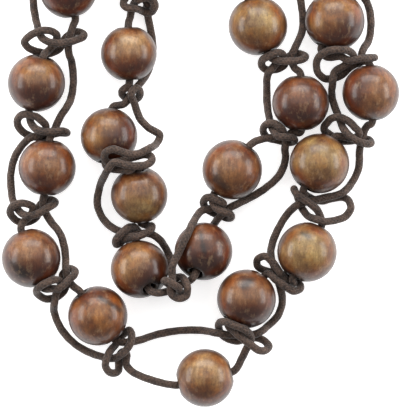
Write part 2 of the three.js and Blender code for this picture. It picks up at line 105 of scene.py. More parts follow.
BEADS = [
    {"at": [68.3, -10.5], "size": 0.99, "out": [75, 17], "rise": -8,
        "side": [[35.5, -22], [33, 0], [35.4, 18]]},
    {"at": [36.4, 83.1], "size": 0.993, "out": [29, 110.5], "rise": -8,
        "side": [[71.5, 62], [73.2, 82], [70.5, 99]]},
    {"at": [47.1, 167.5], "size": 0.99, "out": [44.4, 194.5], "rise": -5,
        "side": [[15.5, 155], [10.6, 174], [10.9, 188]]},
    {"at": [31.2, 258.1], "size": 1.017, "out": [41.4, 287], "rise": 4,
        "side": [[60, 233.5], [64.7, 249], [65.8, 262]], "height": 10},
    {"at": [97.8, 315.8], "size": 1.028, "out": [115.5, 340], "rise": -8,
        "side": [[54.2, 313], [61, 329], [74, 343.5], [88, 352]]},
    {"at": [204.9, 377.9], "size": 1, "out": [233.4, 370.9], "rise": 0,
        "side": [[156.9, 334.7], [178, 330.9], [200, 330.4]]},
    {"at": [246.4, 298.8], "size": 1.017, "out": [266, 274.3], "rise": -8,
        "side": [[268.5, 325.5], [277.5, 316.5], [282.3, 303]]},
    {"at": [307, 252], "size": 1.028, "out": [320.2, 227.5], "rise": -6,
        "side": [[272.5, 243], [279, 227.5], [288, 213.5]]},
    {"at": [319.4, 163.4], "size": 1.034, "out": [334, 139], "rise": -6,
        "side": [[352.5, 182], [358.8, 168]]},
    {"at": [370.8, 92.8], "size": 0.986, "out": [369.5, 64.5], "rise": -4, "side": [[332.4, 98]]},
    {"at": [334.7, 21], "size": 1.028, "out": [347.4, -5], "rise": -8,
        "side": [[369.3, 39], [371.2, 22], [368.5, 5], [359, -13]]},
    {"at": [344, -70], "size": 1, "rise": 0, "side": "left"},
    {"at": [250, -71], "size": 0.99, "rise": 0, "side": "right"},
    {"at": [258, 26], "size": 1.017, "out": [268, 53], "rise": 6,
        "side": [[295, -14], [302, 8], [303, 28]]},
    {"at": [300.7, 103], "size": 0.983, "out": [300.9, 131], "rise": -4,
        "side": [[266.9, 90], [267.2, 103]]},
    {"at": [232.2, 169.6], "size": 1.034, "out": [215, 193], "rise": -6,
        "side": [[285.5, 160], [279.5, 175], [265, 188.5], [249.5, 198]]},
    {"at": [203.5, 251.4], "size": 1, "out": [195, 274], "rise": 32,
        "side": [[187.5, 235], [179.6, 251]], "height": 17.5},
    {"at": [139.6, 269.2], "size": 1, "out": [129.2, 249.4], "rise": -36,
        "side": [[169.4, 257], [164.5, 246.5]], "height": 5},
    {"at": [139.2, 195], "size": 0.983, "out": [137.2, 168], "rise": 18,
        "side": [[103.5, 219.5], [97.2, 204], [99.3, 188]]},
    {"at": [109, 136.3], "size": 0.983, "out": [112, 109.5], "rise": -12,
        "side": [[157.5, 142], [159.8, 135], [149, 128], [140, 118.5]], "height": 9},
    {"at": [128.8, 53.6], "size": 0.966, "out": [128.3, 26], "rise": 0,
        "side": [[148.5, 69], [152.5, 53], [151.8, 37], [149, 22], [146.2, 8]], "height": 1.6},
    {"at": [140, -34], "size": 0.99, "rise": 0, "side": "left"},
    {"at": [114, -124], "size": 1.01, "rise": 0, "side": "right"},
    {"at": [28, -96], "size": 1, "rise": 0, "side": "left"},
]

# The route: how the cords lie at the knot that follows each bead, as a few chosen points
# [x, y, level], where one level is one cord over or under the middle of the knot.
# "tied": the cord that makes the knot. "core": the cord that it is tied round.
# "ways": where the tied cord comes from and goes to, a bore or a bead's side. The core
# takes the other two. A knot with no points has the plain form below.

KNOTS = [
    {
        "ways": ["side", "bore"], "height": 9,
        "tied": [[38, 28, -0.4], [41, 36.5, 0.1], [49, 42, 0.9], [60, 43.3, 1], [75, 40.5, 1],
            [84.3, 35.5, 0], [77, 31.5, -1], [65, 38, -1], [60, 48, -1], [47, 54.3, -1], [32, 50.5, -0.4],
            [24.3, 42.5, 0.1], [33, 34, 0.9], [47, 30.3, 1], [57, 35.5, 0.3], [53, 45, 0], [47, 52, 0]],
        "core": [[73, 26, 0], [69, 39, 0], [68.5, 52, 0]],
    },
    {
        "ways": ["bore", "side"], "height": 8.5,
        "tied": [[29.3, 115, -0.2], [31, 123, 0.3], [37.5, 129.8, 0.9], [50, 132.3, 1],
            [63, 131.3, 0.8], [66.5, 133, -0.4], [57, 133, -1], [43, 137, -1], [30, 135.8, -0.9],
            [20, 129, -0.3], [17.3, 120.5, 0.2], [24, 112.7, 0.9], [33, 113.6, 1], [42, 120.5, 0.8],
            [46.5, 128, 0], [41, 135.5, 0], [30, 138, 0]],
        "core": [[66, 108, 0], [60, 117, 0], [54.5, 129, 0]],
    },
    {
        "ways": ["side", "bore"], "height": 8.5,
        "tied": [[13, 201.5, -0.4], [18, 210, 0.1], [26, 215.3, 0.9], [35, 214.8, 1], [48, 207.8, 1],
            [55.3, 202.7, 0], [48.5, 199.7, -1], [39.5, 205.5, -1], [37.5, 215, -1], [29, 221.7, -1],
            [18, 221.5, -0.6], [10.3, 213, 0.1], [14, 205.2, 0.9], [24, 203.3, 1], [33, 207.5, 0.4],
            [30, 216, 0], [22.5, 222.5, 0.1]],
        "core": [[42.6, 199.5, 0], [44.5, 210, 0], [50, 220.5, 0]],
    },
    {
        "ways": ["bore", "side"], "height": 11,
        "tied": [[45.5, 289, 0.2], [51, 288.5, 0.8], [59, 288, 1], [67.5, 281, 1], [75.3, 272.7, 0.1],
            [70, 268.8, -1], [62.5, 275, -1], [66, 286.5, -1], [58, 296.3, -1], [46, 298.7, -0.8],
            [37.5, 292.5, -0.2], [38, 286.5, 1], [46, 282, 1.6], [56, 279.5, 1.1], [61.3, 284, 0.1],
            [56.5, 293, 0], [54.6, 302, 0]],
        "core": [[65.8, 268, 0], [68.5, 280, 0], [77, 289.3, 0]],
    },
    {
        "ways": ["side", "bore"], "height": 8.5,
        "tied": [[102, 356.8, -0.2], [112, 358.3, 0.2], [120.5, 355, 0.9], [128, 347.5, 1],
            [131.6, 337.5, 1], [129.5, 330.4, 0.2], [121.5, 336, -1.1], [116, 344, -1], [110.3, 351, 0.4],
            [107.6, 356.5, 1], [105.4, 366, 0.7], [110.5, 372.8, 0.1], [118, 371.5, -0.6],
            [118.6, 361, -1], [121, 352, -1.1], [126.7, 354.5, -0.9], [125.8, 363.5, -0.5],
            [133, 372.3, -0.1]],
        "core": [[122, 342.3, 0.3], [136.5, 341, 0]],
    },
    {
        "ways": ["bore", "bore"], "height": 10,
        "tied": [[241.5, 359, -0.1], [246.2, 349, -0.1], [250.8, 340, 0.2], [247, 329.5, 1],
            [237, 322.3, 1], [225.5, 320.2, 0.8], [218.8, 326, -0.7], [222.5, 335.5, -1.3],
            [236, 341, -1], [249, 338, -1], [261, 339, -0.9], [269, 346.8, 0], [261, 350.8, 0.9],
            [248.5, 342, 1], [238, 334, 0.9], [231.5, 327, 0.1]],
        "core": [[221, 333, 0.3], [236, 334.3, 0.1], [250, 335.5, 0], [259, 332.8, 0]],
    },
    {
        "ways": ["bore", "bore"], "height": 9,
        "tied": [[269, 273, 0], [276, 279, 0.9], [285, 286, 1], [294, 291, 0.9], [301, 287, 0],
            [295, 279.7, -1], [283, 274.5, -1], [268, 271.5, -1], [258.5, 267.3, -0.5],
            [257.5, 259.5, 0.4], [265.5, 256.2, 1], [273.5, 263, 1], [281, 272.5, 0.8], [288, 281, 0],
            [294.5, 281.5, 0]],
        "core": [[280.8, 288, 0], [277.5, 276, 0], [271, 256.5, 0]],
    },
    {
        "ways": ["bore", "bore"], "height": 9,
        "tied": [[320, 217, 0.2], [315.5, 208.5, 0.9], [306.5, 200.8, 1], [297.5, 193.5, 0.8],
            [294, 188.5, -0.2], [297.5, 196, -1], [301.5, 207, -1], [308.5, 217, -0.2], [320, 222.2, 1],
            [334, 220.7, 0.6], [346, 216, 0], [351, 207, 0], [346, 198, -0.5], [334, 198, -1],
            [321, 201, -1], [310, 197.5, -1]],
        "core": [[299, 204, 0], [310, 201.3, 0], [324, 197.8, 0], [342, 193.2, 0]],
    },
    {
        "ways": ["bore", "side"], "height": 8.5,
        "tied": [[342, 136.5, -0.1], [353, 138.5, -0.1], [360, 134.5, 0.4], [354, 126.5, 1],
            [346, 119.7, 1], [335.5, 116.8, 1], [325, 121.5, 0.5], [323.5, 130.5, -0.2], [332, 136.8, -1],
            [345, 141.3, -1], [358, 139.5, -1], [368.5, 139.3, -0.7], [371, 143.5, 0.2], [362, 142.7, 1],
            [351, 136.7, 1], [344, 129.5, 0.7], [339.3, 118, -0.3]],
        "core": [[359.5, 150, 0], [361, 141, 0], [366, 127, 0]],
    },
    {
        "ways": ["side", "bore"], "height": 10,
        "tied": [[332.6, 83, 0.1], [335, 71.5, 0], [345, 65.3, 0], [353.5, 58.5, 0.1], [348.5, 51, 1.4],
            [336, 48.5, 1.9], [324, 52.5, 1.6], [317, 60.5, 0.5], [317.5, 71.5, 0], [326, 78.7, -0.8],
            [340, 76, -1], [352, 66, -1], [364, 61.5, -1], [373.3, 59.5, 0], [362, 58.5, 1], [349, 60, 1],
            [339, 56, 0.5], [332, 57.5, 0.2], [325, 56, 0]],
        "core": [[362.5, 60, 0], [362.3, 52, 0]],
    },
    {"ways": ["bore", "side"], "height": 8.5},
    {"ways": ["bore", "side"], "height": 8.5},
    {"ways": ["bore", "side"], "height": 8.5},
    {
        "ways": ["bore", "side"], "height": 10,
        "tied": [[270.5, 57.5, 0.1], [277, 60.3, 0.9], [289, 61.2, 1], [300, 60.3, 0.9],
            [305.5, 56.5, -0.2], [297, 53.3, -1], [287.5, 57.5, -1], [283.5, 65.8, -1], [273, 69.8, -1],
            [263.5, 68, -0.5], [261.5, 60.5, 0.2], [267.5, 54.3, 1], [277, 51.8, 1], [283, 56, 0.2],
            [275.5, 64, 0], [268, 74, 0.2]],
        "core": [[294.5, 49, 0], [290.8, 58, 0], [295.5, 69, 0]],
    },
    {
        "ways": ["side", "bore"], "height": 8.5,
        "tied": [[269.3, 118, -0.3], [272, 127, 0.1], [279.5, 133, 1], [288, 135.3, 1],
            [293.8, 138, 0.1], [289.5, 141.8, -0.9], [279, 140.2, -1], [267.5, 137.5, -0.8],
            [263.6, 130.5, 0], [268, 123.3, 0.9], [277, 122.3, 1], [285.5, 126, 0.8], [284, 132.5, 0],
            [275, 136, 0], [261, 139, 0]],
        "core": [[293.5, 131.3, 0], [288, 138, 0], [285.3, 148, 0]],
    },
    {
        "ways": ["bore", "side"], "height": 9,
        "tied": [[212.6, 198, -0.1], [213.5, 204, 0.5], [220, 210, 1], [229.5, 213.5, 0.8],
            [229, 218.3, -0.5], [219, 215.5, -1], [209, 211.3, -1], [203.8, 204.5, -0.3], [207, 198, 0.7],
            [216, 197.8, 1], [224, 203, 0.9], [221.5, 207.5, 0], [211, 208, 0], [202, 210, 0]],
        "core": [[236, 204.3, 0], [228, 208, 0], [220.5, 215, 0]],
    },
    {
        "ways": ["side", "side"], "height": 13,
        "tied": [[172, 266, 1.6], [170.3, 275.5, 1.1], [169, 285, 1], [169.5, 292.5, 0.9],
            [176, 296.5, 0.6], [183.5, 294, 0.2], [187, 286.5, 1.1], [182.5, 277.5, 0.3],
            [172, 280.3, -1], [166.5, 284, -0.9], [165, 281, 0.5], [168, 280.5, 1.9], [176, 286.5, 1.2],
            [178.5, 291.5, -0.3], [175.5, 284, -1.6], [170.6, 272, -1.6]],
        "core": [[186, 281.8, 0], [172, 286.8, 0], [161.5, 292, 1.2]],
    },
    {
        "ways": ["bore", "bore"], "height": 9,
        "tied": [[134.5, 239.5, -1.7], [138.5, 235.5, -1.4], [138.5, 228.5, -1.1], [133.5, 224, -0.1],
            [127, 227.8, 1], [120.5, 234.5, 1], [116, 240, 0.6], [118, 244.5, -0.6], [124, 239.5, -0.7],
            [130, 235.8, 0.4], [137, 236.2, 1], [144, 233.8, 1], [150.5, 230, 0.6], [151.5, 225.5, 0],
            [147, 224.5, -0.7]],
        "core": [[158, 238, 0], [149, 233, 0.3], [136, 233.3, 0.5], [117.5, 230.5, 0]],
    },
    {
        "ways": ["side", "side"], "height": 17,
        "tied": [[104.5, 176, -0.8], [109, 168.5, 0.6], [114.5, 162.5, 1.2], [126, 165, 1],
            [137.5, 166, 1], [148, 164.3, 0.7], [152.4, 158.7, 0], [147, 154.3, -0.8], [136, 156.8, -1],
            [124, 160.5, -0.8], [112, 165, -0.5], [105.4, 160.3, -0.1], [106, 152.7, 0.6],
            [113.5, 149.3, 1], [124, 152.6, 0.9], [136, 154.3, 0.8], [147, 150, 0.3]],
        "core": [[129, 170.3, 0], [119, 167.2, 0]],
    },
    {
        "ways": ["side", "bore"], "height": 8.5,
        "tied": [[136, 108.5, 0.1], [133.5, 101, 0.6], [130.8, 94, 1.1], [134, 88, 1], [138.8, 90, 0.4],
            [138, 97, -0.6], [132.5, 99.8, -1], [126.5, 98, -1], [122.6, 94, 0], [123.5, 89.8, 0.9],
            [128.5, 87, 0.9]],
        "core": [[124.5, 103.5, 0], [131, 94, 0], [138.5, 85.5, -0.3]],
    },
    {
        "ways": ["bore", "side"], "height": 8.5,
        "tied": [[130, 18, -0.3], [132.5, 9, -0.6], [137, 2, 0.2], [144, -2.5, 0.9], [152, -1, 1],
            [154.5, 5, 0.4], [149, 9.3, -0.7], [141, 7.5, -0.6], [135, 6.5, 0.6], [128, 7.3, 1],
            [123, 3, 0.6], [126, -4, 0], [118, -10, 0]],
        "core": [[148, 6, 0], [145, 0, 0], [141, -5, 0]],
    },
    {"ways": ["bore", "side"], "height": 8.5},
    {"ways": ["bore", "side"], "height": 8.5},
    {"ways": ["bore", "side"], "height": 8.5},
]

# The plain knot, in plan units from the middle between the two beads' bores: [along, across,
# level], where across is negative on the hand that the core comes from.

PLAIN_KNOT = {
    "tied": [[-16, 2, 0], [-5, 9, 0.3], [3, 4, 0.9], [6.5, -8, 1], [7, -21, 0.8], [9, -25, -0.4],
        [8, -15, -1], [11, -2, -1], [9, 11, -0.9], [1, 20, -0.3], [-5, 22, 0.2], [-10.5, 15.5, 0.9],
        [-9, 6, 1], [-4, -2, 0.8], [4, -5, 0], [11, 2, 0], [16, 15, 0]],
    "core": [[-14, -26, 0], [-6, -19, 0], [5, -12, 0]],
}

SIDE_REACH = 37
SIDE_SPREAD = math.radians(36)

# Stains of the wood, as display values from 0 to 1

STAINS = {
    "golden": (0.50, 0.415, 0.295),
    "tan": (0.52, 0.41, 0.30),
    "honey": (0.49, 0.36, 0.23),
    "chestnut": (0.45, 0.30, 0.18),
    "dusk": (0.44, 0.31, 0.22),
    "clay": (0.38, 0.245, 0.17),
    "amber": (0.37, 0.22, 0.11),
    "russet": (0.27, 0.13, 0.07),
    "umber": (0.22, 0.11, 0.08),
    "plum": (0.19, 0.085, 0.05),
}

# The stain of each bead, in the order of BEADS: the stain of its crown and of the side that
# it leans to, the side's direction in plan in degrees, counted from the right towards the
# top, and how far that side's stain reaches over the crown, from 0 to 1.

BEAD_STAINS = [
    ("russet", "umber", 90, 0.3), ("honey", "plum", -90, 0.62), ("dusk", "russet", -100, 0.45),
    ("dusk", "plum", -75, 0.55), ("chestnut", "amber", -100, 0.40), ("tan", "amber", -100, 0.40),
    ("dusk", "plum", -85, 0.5), ("golden", "amber", -90, 0.3), ("golden", "amber", -110, 0.35),
    ("dusk", "russet", 180, 0.45), ("honey", "plum", -70, 0.5), ("golden", "honey", 60, 0.4),
    ("honey", "russet", 20, 0.4), ("golden", "amber", -90, 0.4), ("clay", "plum", -100, 0.6),
    ("dusk", "amber", -80, 0.4), ("clay", "plum", -100, 0.6), ("honey", "plum", -50, 0.58),
    ("golden", "dusk", 120, 0.6), ("honey", "plum", -35, 0.62), ("tan", "russet", -90, 0.55),
    ("golden", "russet", 200, 0.4), ("honey", "amber", 45, 0.4), ("tan", "russet", 120, 0.4),
]

# Dark streaks in the wood: the bead's row, the two ends as seen from above in shares of the
# bead's radius from its middle, and the half width.

STREAKS = [
    (4, (0.08, 0.62), (0.76, 0.20), 0.085), (16, (-0.12, 0.66), (0.02, 0.02), 0.08),
    (6, (-0.05, 0.45), (0.12, 0.62), 0.16), (7, (-0.15, 0.62), (0.05, 0.50), 0.09),
    (3, (-0.62, -0.18), (-0.30, -0.52), 0.20), (15, (-0.50, -0.30), (-0.22, -0.62), 0.18),
]

# What is mixed over a bead's stain: a band below the crown, and painted shade at the rim and at the bore

BAND_STAIN = (0.40, 0.19, 0.07)
PAINTED_RIM_SHADE = (0.20, 0.09, 0.045)
PAINTED_BORE_SHADE = (0.05, 0.025, 0.018)

# The painted shade at the bore is full this near to the bore's axis and fades out over this reach, in
# millimetres.

BORE_SHADE_FULL = 2.5
BORE_SHADE_FADE = 3.4

# Tints that multiply the wood's stain, and linear colours laid over it

LIGHT_TINT = (1.36, 1.40, 1.12, 1)
DARK_TINT = (0.52, 0.39, 0.28, 1)
AMBER_TINT = (1.25, 0.93, 0.42, 1)
FIBRE_TINT = (0.62, 0.55, 0.50, 1)
GRAIN_TINT = (1.7, 1.7, 1.7, 1)
PALE_PATCH = (0.44, 0.30, 0.17, 1)
DARK_BLOTCH = (0.05, 0.022, 0.013, 1)
PORE = (0.035, 0.016, 0.010, 1)

# The braid: linear colours of the painted shade in its grooves, also its darkest fibres, and of
# its yarns, and the waves' radians per centimetre along the cord and per turn round it

GROOVE_SHADE_AND_DARK_FIBRE = (0.013, 0.007, 0.005, 1)
YARN = (0.088, 0.050, 0.033, 1)
YARN_PITCH = 52.0
YARN_TURNS = 2 * math.pi * 5

# The floor's half width and how far it lies under the necklace, and the camera's height, all
# in millimetres

FLOOR_REACH = 1500.0
FLOOR_DROP = 0.02
CAMERA_HEIGHT = 3000.0

# The lamps: place in metres, width and depth in metres, power in watts

LAMPS = [
    ("top_lamp", (0.0, 1.1, 0.60), (1.5, 0.6), 17),
    ("left_lamp", (-1.1, 0.15, 0.42), (1.0, 0.45), 9),
    ("right_lamp", (1.1, 0.15, 0.42), (1.0, 0.45), 9),
    ("high_lamp", (0.0, 0.5, 1.2), (2.2, 1.2), 12),
]


# Places

def in_plan(point, z=0.0):
    """A plan point in millimetres: its offset from the origin times the unit, y turned up."""
    x = (point[0] - PLAN_ORIGIN[0]) * PLAN_UNIT
    y = (PLAN_ORIGIN[1] - point[1]) * PLAN_UNIT
    return np.array([x, y, z])


def unit(vector):
    return vector / np.linalg.norm(vector)


def bead_radius(index):
    return BEAD_DIAMETER * BEADS[index]["size"] / 2


def bead_centre(index):
    return in_plan(BEADS[index]["at"], bead_radius(index))


def bore_direction(index):
    """The bore's unit vector: its way out in plan, or the chord between its neighbours,
    tipped up by its rise."""
    bead = BEADS[index]
    back = bead["at"] if "out" in bead else BEADS[index - 1]["at"]
    ahead = bead["out"] if "out" in bead else BEADS[(index + 1) % len(BEADS)]["at"]
    level = unit(in_plan(ahead) - in_plan(back))
    rise = math.radians(bead["rise"])
    return np.array([level[0] * math.cos(rise), level[1] * math.cos(rise), math.sin(rise)])


def bore_way(index, share):
    """The cord in the bore: the centre plus a share of the half length, seated low."""
    half_length = math.sqrt(bead_radius(index) ** 2 - (END_FLAT_DIAMETER / 2) ** 2)
    lie = BORE_DIAMETER / 2 - CORD_RADIUS - CLEARANCE
    point = bead_centre(index) + bore_direction(index) * half_length * share
    return point - np.array([0, 0, lie])


def turned(vector, angle):
    """A level vector turned about the vertical."""
    c, s = math.cos(angle), math.sin(angle)
    return np.array([c * vector[0] - s * vector[1], s * vector[0] + c * vector[1], 0])


def side_way(index):
    """The cord beside a bead: its own points, or three on an arc on the hand it passes on."""
    bead = BEADS[index]
    height = bead.get("height", SIDE_HEIGHT)
    if not isinstance(bead["side"], str):
        return [in_plan(point, height) for point in bead["side"]]
    hand = 1 if bead["side"] == "left" else -1
    outward = turned(unit(bore_direction(index) * [1, 1, 0]), hand * math.pi / 2)
    rays = [turned(outward, hand * turn * SIDE_SPREAD) for turn in (1, 0, -1)]
    return [in_plan(bead["at"], height) + ray * SIDE_REACH * PLAN_UNIT for ray in rays]


def passes_on_left(index):
    """Whether the cord beside a bead passes on the left hand of the way along the loop."""
    bead = BEADS[index]
    if isinstance(bead["side"], str):
        return bead["side"] == "left"
    offset = in_plan(bead["side"][len(bead["side"]) // 2]) - in_plan(bead["at"])
    return np.cross(bore_direction(index), offset)[2] > 0


def knot_way(index, strand):
    """The knot's points: its own, or the plain knot's, set between the two bores' mouths."""
    knot = KNOTS[index]
    if strand in knot:
        return [in_plan((x, y), knot["height"] + level * STRAND_PITCH) for x, y, level in knot[strand]]
    start = bore_way(index, MOUTH_REACH) * [1, 1, 0]
    end = bore_way((index + 1) % len(BEADS), -MOUTH_REACH) * [1, 1, 0]
    along = unit(end - start)
    hand = -1 if passes_on_left(index) else 1
    across = turned(along, hand * math.pi / 2)
    middle = (start + end) / 2
    return [middle + along * ahead * PLAN_UNIT + across * aside * PLAN_UNIT
            + [0, 0, knot["height"] + level * STRAND_PITCH]
            for ahead, aside, level in PLAIN_KNOT[strand]]


def cord_way(start):
    """One length of cord: from a bore's middle through knots to the next bore's middle."""
    tip = CLEARANCE / BEAD_DIAMETER
    way = [bore_way(start, tip), bore_way(start, 0.5), bore_way(start, MOUTH_REACH)]
    index, leaves = start, "bore"
    while True:
        ways = KNOTS[index]["ways"]
        strand = "tied" if ways[0] == leaves else "core"
        other = {"bore": "side", "side": "bore"}
        reaches = ways[1] if strand == "tied" else other[ways[1]]
        way += knot_way(index, strand)
        index = (index + 1) % len(BEADS)
        if reaches == "bore":
            break
        way += side_way(index)
        leaves = "side"
    way += [bore_way(index, -MOUTH_REACH), bore_way(index, -0.5), bore_way(index, -tip)]
    return np.array(way)


# Smooth lines

def spline(way, per_span=40):
    """A centripetal Catmull-Rom curve: each span is a cubic whose end slopes come from the
    neighbouring points, weighed by the square roots of the distances between them."""
    before = 2 * way[0] - way[1]
    after = 2 * way[-1] - way[-2]
    p = np.vstack([before, way, after])
    gap = np.sqrt(np.linalg.norm(np.diff(p, axis=0), axis=1))[:, None]
    slope = np.diff(p, axis=0) / gap
    ends = slope[:-1] - (p[2:] - p[:-2]) / (gap[:-1] + gap[1:]) + slope[1:]
    span = gap[1:-1]
    t = np.linspace(0, 1, per_span, endpoint=False)[None, :, None]
    a, b = p[1:-2, None], p[2:-1, None]
    m0, m1 = (ends[:-1] * span)[:, None], (ends[1:] * span)[:, None]
    curve = ((2 * t ** 3 - 3 * t ** 2 + 1) * a + (t ** 3 - 2 * t ** 2 + t) * m0
             + (3 * t ** 2 - 2 * t ** 3) * b + (t ** 3 - t ** 2) * m1)
    return np.vstack([curve.reshape(-1, 3), way[-1:]])


def evenly(line, step):
    """Points an even step apart along a line, by its running length."""
    run = np.concatenate([[0], np.cumsum(np.linalg.norm(np.diff(line, axis=0), axis=1))])
    marks = np.linspace(0, run[-1], int(round(run[-1] / step)) + 1)
    return np.stack([np.interp(marks, run, line[:, k]) for k in range(3)], axis=1)


# Settling: cords that come too near each other or a bead move apart, mostly up and down,
# and the moves are evened out along each cord, so that the plan keeps its drawn form.

def near_pairs(rest, cord, place_in_cord):
    """Pairs of points near enough to touch, and not close along one cord."""
    pairs = []
    reach = NEAR * STRAND_PITCH
    for first in range(0, len(rest), 400):
        block = slice(first, first + 400)
        apart = np.linalg.norm(rest[block, None] - rest[None], axis=2)
        along = np.abs(place_in_cord[block, None] - place_in_cord[None]) * STEP
        same = cord[block, None] == cord[None]
        a, b = np.nonzero((apart < reach) & (~same | (along > OWN_REACH * STRAND_PITCH)))
        keep = a + first < b
        pairs.append(np.stack([a[keep] + first, b[keep]], axis=1))
    return np.vstack(pairs)


def guarded_points(rest, held, free, centres, reaches):
    """Points and beads that come near each other, as two lists of numbers: no point in a
    bore, and by a bore's mouth only those that are well clear of the bead."""
    away = np.linalg.norm(rest[:, None] - centres[None], axis=2)
    near = away < reaches + NEAR * CORD_DIAMETER
    clear_of_mouth = ~free[:, None] | (away > reaches + MOUTH_FREE)
    return np.nonzero(near & ~held[:, None] & clear_of_mouth)


def part_cords(place, pairs, push, pushes):
    """Adds to both points of each tight pair half of the way that they lack."""
    gap = place[pairs[:, 1]] - place[pairs[:, 0]]
    length = np.linalg.norm(gap, axis=1)
    tight = length < STRAND_PITCH
    shove = gap[tight] / length[tight, None] * ((STRAND_PITCH - length[tight]) / 2)[:, None]
    for column, sign in ((0, -1), (1, 1)):
        np.add.at(push, pairs[tight, column], sign * shove)
        np.add.at(pushes, pairs[tight, column], 1)


def clear_beads(place, dots, centres, reaches, push, pushes):
    """Adds to each point that is too near a bead the way that it lacks, straight outwards."""
    gap = place[dots] - centres
    length = np.linalg.norm(gap, axis=1)
    lack = reaches + CORD_RADIUS + CLEARANCE - length
    tight = lack > 0
    np.add.at(push, dots[tight], gap[tight] / length[tight, None] * lack[tight, None])
    np.add.at(pushes, dots[tight], 1)


def evened(place, rest, fixed, fade):
    """Blends each point's move from its drawn place with its two neighbours' moves, less
    and less as the fade goes from 1 to 0. Fixed points stay."""
    shift = place - rest
    mean = (np.roll(shift, 1, axis=0) + np.roll(shift, -1, axis=0)) / 2
    shift += (mean - shift) * EVENING * fade
    shift[:, :2] *= 1 - PLAN_PULL * fade
    return np.where(fixed[:, None], place, rest + shift)


def settle(lines, ways):
    """The lines after rounds of pushing apart and evening out."""
    rest = np.vstack(lines)
    sizes = [len(line) for line in lines]
    cord = np.repeat(np.arange(len(lines)), sizes)
    order = np.concatenate([np.arange(n) for n in sizes])
    held, free = mouths_of(lines, ways)
    ends = (order == 0) | (np.append(order[1:], 0) == 0)
    pairs = near_pairs(rest, cord, order)
    centres = np.array([bead_centre(i) for i in range(len(BEADS))])
    reaches = np.array([bead_radius(i) for i in range(len(BEADS))])
    dots, beads = guarded_points(rest, held, free, centres, reaches)
    place = rest.copy()
    for turn in range(SETTLING_ROUNDS):
        push = np.zeros_like(place)
        pushes = np.zeros(len(place))
        part_cords(place, pairs, push, pushes)
        clear_beads(place, dots, centres[beads], reaches[beads], push, pushes)
        moved = push / np.maximum(1, pushes / 2)[:, None] * [PLAN_GIVE, PLAN_GIVE, 1]
        place += np.where(held[:, None], 0, moved)
        place[:, 2] = np.maximum(place[:, 2], CORD_RADIUS)
        place = evened(place, rest, held | ends, 1 - turn / SETTLING_ROUNDS)
    return np.split(place, np.cumsum(sizes)[:-1])


def mouths_of(lines, ways):
    """Which points lie in a bore, and which are by its mouth."""
    held, free = [], []
    for line, way in zip(lines, ways):
        early = np.arange(len(line)) < (len(line) - 1) / 2
        mouth = np.where(early[:, None], way[2], way[-3])
        end = np.where(early[:, None], line[0], line[-1])
        held.append(np.linalg.norm(line - end, axis=1) < np.linalg.norm(mouth - end, axis=1))
        near = [np.linalg.norm(line - m, axis=1) < MOUTH_FREE for m in (way[2], way[-3])]
        free.append(near[0] | near[1])
    return np.concatenate(held), np.concatenate(free)


# Surfaces

def mesh_object(name, points, faces, uv, material):
    """A named mesh in metres, smooth, with one UV pair per corner."""
    mesh = bpy.data.meshes.new(name)
    mesh.from_pydata((points * MM).tolist(), [], faces.tolist())
    layer = mesh.uv_layers.new(name="along_and_round")
    layer.data.foreach_set("uv", uv.astype(np.float32).ravel())
    mesh.polygons.foreach_set("use_smooth", np.ones(len(faces), dtype=bool))
    mesh.materials.append(material)
    mesh.update()
    piece = bpy.data.objects.new(name, mesh)
    bpy.context.scene.collection.objects.link(piece)
    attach(piece, "root")
    return piece


def grid_faces(rows, columns):
    """Quads of a grid that closes on itself round its columns, and each corner's row and
    column, the last column counted on to the full turn."""
    row, column = np.meshgrid(np.arange(rows - 1), np.arange(columns), indexing="ij")
    row, column = row.ravel(), column.ravel()
    corner_rows = np.stack([row, row, row + 1, row + 1], axis=1)
    corner_columns = np.stack([column, column + 1, column + 1, column], axis=1)
    faces = corner_rows * columns + corner_columns % columns
    return faces, corner_rows, corner_columns


def carried_frames(line):
    """Directions ahead, aside and over at each point: the first pair is carried along the
    line by taking away its part along the new direction."""
    ahead = np.gradient(line, axis=0)
    ahead /= np.linalg.norm(ahead, axis=1)[:, None]
    over = np.empty_like(line)
    carry = unit(np.cross(np.cross(ahead[0], [0, 0, 1]), ahead[0]))
    for i, direction in enumerate(ahead):
        carry = unit(carry - direction * np.dot(carry, direction))
        over[i] = carry
    return ahead, np.cross(ahead, over), over


def cord_surface(line):
    """A round cord: rings of the braid's radius about the line, with the ends' rings drawn in
    to a flat cap, and the braid's slow unevenness as two waves of the radius."""
    kept = line[::2] if len(line) % 2 else np.vstack([line[:-1:2], line[-1:]])
    fine = evenly(spline(kept, 8), FINE_STEP)
    ahead, aside, over = carried_frames(fine)
    run = np.arange(len(fine)) * FINE_STEP
    turn = math.pi + np.arange(CORD_SIDES) * 2 * math.pi / CORD_SIDES
    wave = np.sin(run[:, None] / 1.7 + 2 * turn) + np.sin(run[:, None] / 0.6 - turn)
    radius = BRAID_DIAMETER / 2 * (1 + BRAID_WAVE * wave)
    points = (fine[:, None] + radius[..., None] * (np.cos(turn)[None, :, None] * over[:, None]
              + np.sin(turn)[None, :, None] * aside[:, None]))
    caps = [fine[end, None] + (points[end] - fine[end, None]) * CAP_WIDTH
            for end in (slice(0, 1), slice(-1, None))]
    points = np.concatenate([caps[0], points, caps[1]]).reshape(-1, 3)
    faces, rows, columns = grid_faces(len(fine) + 2, CORD_SIDES)
    uv = np.stack([rows * FINE_STEP / 10, columns / CORD_SIDES], axis=2)
    return points, faces, uv


